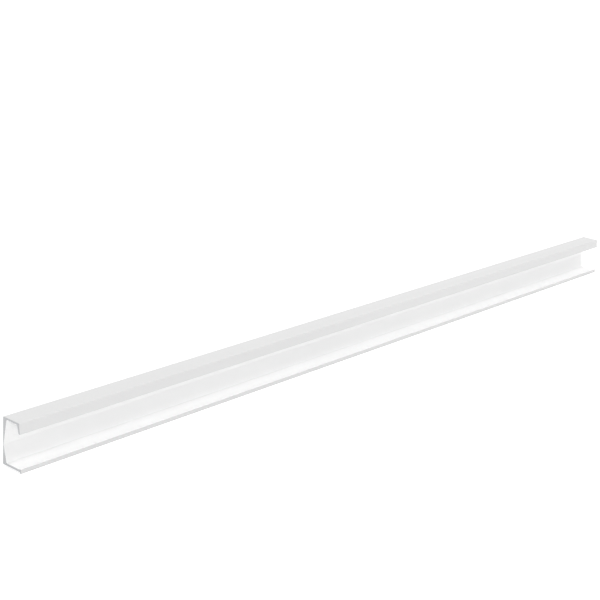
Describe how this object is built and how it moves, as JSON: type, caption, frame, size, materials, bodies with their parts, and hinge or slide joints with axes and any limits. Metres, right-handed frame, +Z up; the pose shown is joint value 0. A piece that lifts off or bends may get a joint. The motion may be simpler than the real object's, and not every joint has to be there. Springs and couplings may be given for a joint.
{
  "type": "furniture handle profile",
  "caption": "Straight extruded aluminium handle profile of C section with a flat back, a down-turned lip and a nosed bottom flange, sawn square and white coated.",
  "frame": {"origin": "centre of the bounding box at the level of the base", "axes": "+X along the length of the profile, -Y towards the open grip side, +Z up from the base flange to the top flange"},
  "size_m": [1, 0.0242, 0.0455],
  "materials": {
    "white_coat": "satin white coat on extruded aluminium"
  },
  "bodies": {
    "root": {"handle_profile": "white_coat"}
  },
  "joints": []
}
